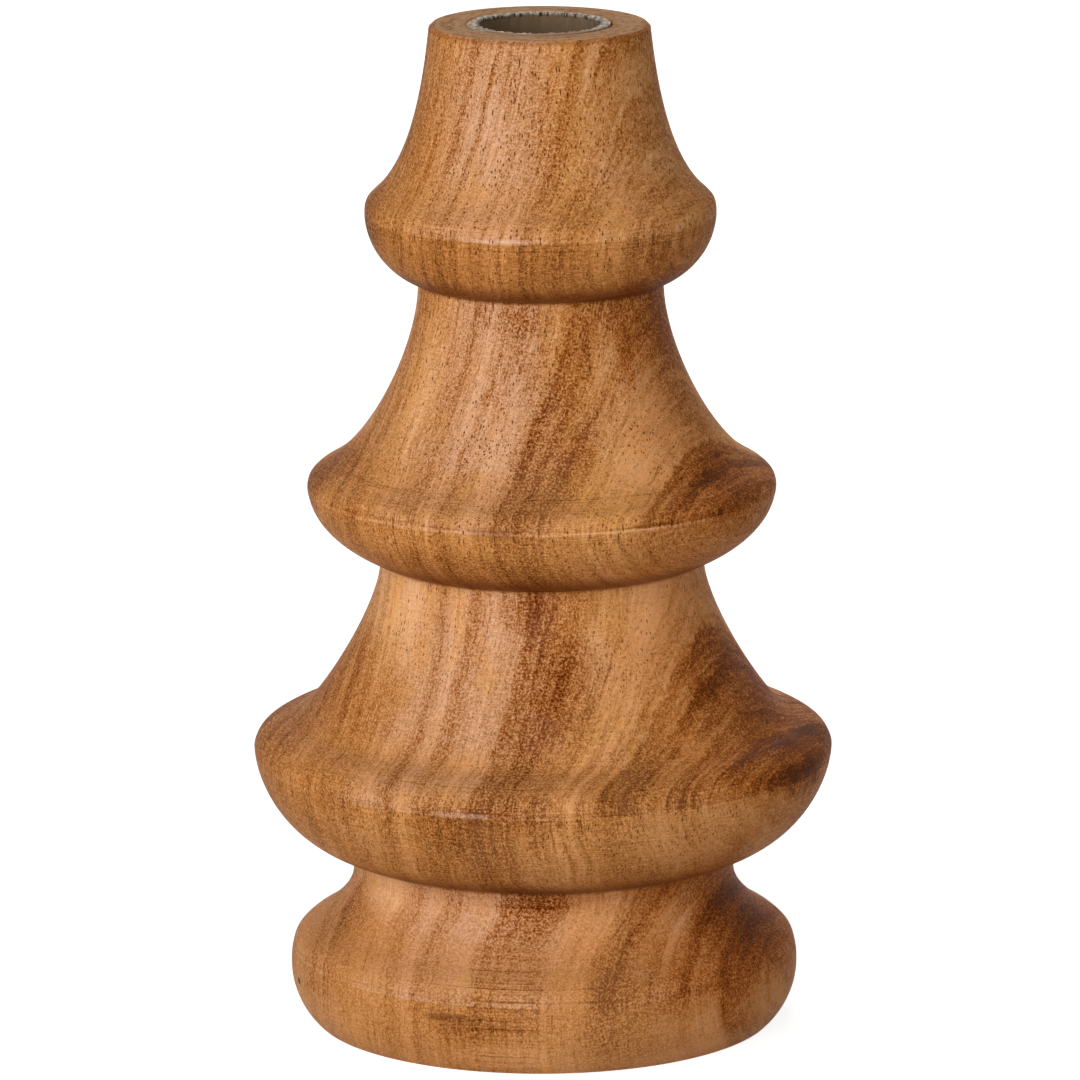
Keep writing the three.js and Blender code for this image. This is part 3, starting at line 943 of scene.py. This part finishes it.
class CANDLEHOLDER_OT_cup_sleeve(bpy.types.Operator):
    """Draw the cup's tube up from a circle and burr its saw-cut rim"""

    bl_idname = "candleholder.cup_sleeve"
    bl_label = "Cup sleeve"

    def execute(self, context):
        settings = context.scene.holder_cup
        outer = SLEEVE_HIGH.x
        inner = BORE_RADIUS
        low, high = SLEEVE_LOW.z, SLEEVE_HIGH.z
        edge = settings.rim_break
        burr = settings.burr
        stations = (
            (outer, low),
            (outer, high - 6 * edge),
            (outer, high - edge),
            (outer - 0.3 * edge, high - 0.3 * edge),
            (outer - edge, high - 0.2 * burr),
            (inner + 2 * burr, high - 0.2 * burr),
            (inner + 1.2 * burr, high - 0.2 * burr),
            (inner + 0.6 * burr, high - 0.2 * burr),
            (inner + 0.25 * burr, high - 0.3 * burr),
            (inner + 0.1 * burr, high - 0.55 * burr),
            (inner + 0.1 * burr, high - 1.2 * burr),
            (inner, high - 2.2 * burr),
            (inner, high - 8 * burr),
            (inner, (low + high) / 2),
            (inner, low),
            (outer, low),
        )
        tube = drawn_up_ring(stations, settings.steps, "cup_tube")
        close_shape(50)
        edge_place = Vector((inner, high - 0.5 * burr))

        def near_edge(place):
            across = Vector((math.hypot(place.x, place.y), place.z))
            near = max(0.0, 1.0 - (across - edge_place).length / (1.8 * burr))
            return near if across.x < inner + 1.5 * burr else 0.0

        displaced(tube, "burrs", near_edge, 3.2 * burr, "NORMAL", grain=0.6 * MM)
        editing("VERT")
        select_vertices(tube, lambda place: place.z > high)
        bpy.ops.transform.resize(value=(1.0, 1.0, 0.0), center_override=(0.0, 0.0, high))
        bpy.ops.object.mode_set(mode="OBJECT")
        settle(tube, "cup_tube", steel_material(context.scene.holder_metal), SLEEVE_NODE)
        return {"FINISHED"}


class CANDLEHOLDER_OT_cup_disc(bpy.types.Operator):
    """Stamp the disc that closes the cup"""

    bl_idname = "candleholder.cup_disc"
    bl_label = "Cup disc"

    def execute(self, context):
        settings = context.scene.holder_cup
        radius = DISC_HIGH.x
        low, high = DISC_LOW.z, DISC_HIGH.z
        lip, dish = settings.disc_lip, settings.disc_dish
        stations = (
            (radius - dish, low),
            (radius, low + dish),
            (radius, high - dish),
            (radius - dish, high),
            (radius - lip, high),
            (radius - lip - dish, high - 0.4 * dish),
            (radius - lip - 2 * dish, high - dish),
            (radius * 0.5, high - dish),
            (radius * 0.1, high - dish * 0.9),
        )
        disc = drawn_up_ring(stations, 96, "cup_disc")
        bpy.ops.mesh.edge_face_add()
        select_vertices(disc, lambda place: abs(place.z - low) < TOUCH)
        bpy.ops.mesh.edge_face_add()
        close_shape(30)
        settle(disc, "cup_disc", disc_material(context.scene.holder_metal), FLOOR_NODE)
        return {"FINISHED"}


class CANDLEHOLDER_OT_glue_line(bpy.types.Operator):
    """Lay the glue between the tube and the wood, sunk on the side where a gap shows"""

    bl_idname = "candleholder.glue_line"
    bl_label = "Glue line"

    def execute(self, context):
        settings = context.scene.holder_cup
        inner = SLEEVE_HIGH.x + 0.01 * MM
        outer = inner + 0.28 * MM
        high = BLOCK_HIGH.z - 0.05 * MM
        low = high - 4 * MM
        middle = (inner + outer) / 2
        stations = (
            (outer, low),
            (outer, high - 0.05 * MM),
            (middle, high),
            (inner, high - 0.03 * MM),
            (inner, low),
            (outer, low),
        )
        bead = drawn_up_ring(stations, 160, "glue_line")
        close_shape(60)

        def free(place):
            return 1.0 if place.z > low + 1 * MM else 0.0

        def sunk(place):
            side = math.cos(math.atan2(place.y, place.x) - math.radians(-25))
            return max(0.0, min(1.0, side * 1.3 - 0.25)) * free(place)

        displaced(bead, "sunk", sunk, -settings.glue_sink, "Z")
        displaced(bead, "lumps", free, 0.12 * MM, "Z", grain=0.7 * MM)
        settle(bead, "glue_line", glue_material(context.scene.holder_metal), None)
        return {"FINISHED"}


class CANDLEHOLDER_OT_stage(bpy.types.Operator):
    """Lay the pale floor, set the soft lamps and place the camera"""

    bl_idname = "candleholder.stage"
    bl_label = "Stage"

    def execute(self, context):
        settings = context.scene.holder_stage
        self.lay_floor(settings)
        context.scene.world = white_room(settings.sky)
        distance, size = settings.lamp_distance, settings.lamp_size
        self.set_lamp("front_lamp", settings.front_power, size, distance, -30, 8)
        self.set_lamp("left_lamp", settings.left_power, size, distance, -90, 20)
        self.set_lamp("right_lamp", settings.right_power, size, distance, 50, 14)
        self.set_lamp("back_lamp", settings.back_power, settings.back_size, distance, 180, 38)
        self.set_camera(context, settings)
        context.scene.view_settings.view_transform = "Standard"
        return {"FINISHED"}

    def lay_floor(self, settings):
        deselect()
        bpy.ops.mesh.primitive_plane_add(size=8.0, location=(0.0, 0.0, CAD_LOW.z))
        floor = bpy.context.active_object
        floor.name = "floor"
        floor.data.materials.append(floor_material(settings.floor))

    def set_lamp(self, name, power, size, distance, azimuth, elevation):
        """A square soft lamp that faces the holder, its azimuth counted from the front to the right."""
        turn, lift = math.radians(azimuth), math.radians(elevation)
        out = Vector((math.sin(turn) * math.cos(lift), -math.cos(turn) * math.cos(lift), math.sin(lift)))
        middle = Vector((0.0, 0.0, BLOCK_HIGH.z / 2))
        deselect()
        bpy.ops.object.light_add(type="AREA", location=middle + out * distance)
        lamp = bpy.context.active_object
        lamp.name = name
        lamp.data.energy = power
        lamp.data.size = size
        lamp.rotation_euler = (-out).to_track_quat("-Z", "Y").to_euler()

    def set_camera(self, context, settings):
        deselect()
        bpy.ops.object.camera_add()
        camera = bpy.context.active_object
        camera.name = "photo_camera"
        camera.data.lens = settings.lens
        pitch, roll = settings.pitch, settings.roll
        aim = Vector((settings.aim_across, 0.0, settings.aim_height))
        forward = Vector((0.0, math.cos(pitch), -math.sin(pitch)))
        turn = Matrix.Rotation(math.pi / 2 - pitch, 3, "X") @ Matrix.Rotation(roll, 3, "Z")
        camera.matrix_world = Matrix.Translation(aim - forward * settings.distance) @ turn.to_4x4()
        context.scene.camera = camera


class CANDLEHOLDER_PT_sidebar(bpy.types.Panel):
    """Lists the holder's sizes, colours and pieces"""

    bl_idname = "CANDLEHOLDER_PT_sidebar"
    bl_label = "Candle holder"
    bl_space_type = "VIEW_3D"
    bl_region_type = "UI"
    bl_category = "Candle holder"

    def draw(self, context):
        for group_name, operators in PANEL_ROWS:
            box = self.layout.box()
            group = getattr(context.scene, group_name)
            for name in group.bl_rna.properties.keys():
                if name not in ("rna_type", "name"):
                    box.prop(group, name)
            for operator in operators:
                box.operator(operator)


SETTINGS = {
    "holder_block": BlockSettings,
    "holder_cup": CupSettings,
    "holder_wood": WoodColours,
    "holder_metal": MetalColours,
    "holder_stage": StageSettings,
}

PANEL_ROWS = (
    ("holder_block", ("candleholder.turned_block",)),
    ("holder_wood", ()),
    ("holder_cup", ("candleholder.cup_sleeve", "candleholder.cup_disc", "candleholder.glue_line")),
    ("holder_metal", ()),
    ("holder_stage", ("candleholder.stage",)),
)

CLASSES = (
    *SETTINGS.values(),
    CANDLEHOLDER_OT_turned_block,
    CANDLEHOLDER_OT_cup_sleeve,
    CANDLEHOLDER_OT_cup_disc,
    CANDLEHOLDER_OT_glue_line,
    CANDLEHOLDER_OT_stage,
    CANDLEHOLDER_PT_sidebar,
)


def register():
    for item in CLASSES:
        bpy.utils.register_class(item)
    for name, group in SETTINGS.items():
        setattr(bpy.types.Scene, name, PointerProperty(type=group))


def unregister():
    for name in SETTINGS:
        delattr(bpy.types.Scene, name)
    for item in reversed(CLASSES):
        bpy.utils.unregister_class(item)


def main():
    register()
    bpy.ops.candleholder.stage()
    bpy.ops.candleholder.turned_block()
    bpy.ops.candleholder.cup_sleeve()
    bpy.ops.candleholder.cup_disc()
    bpy.ops.candleholder.glue_line()


if __name__ == "__main__":
    main()
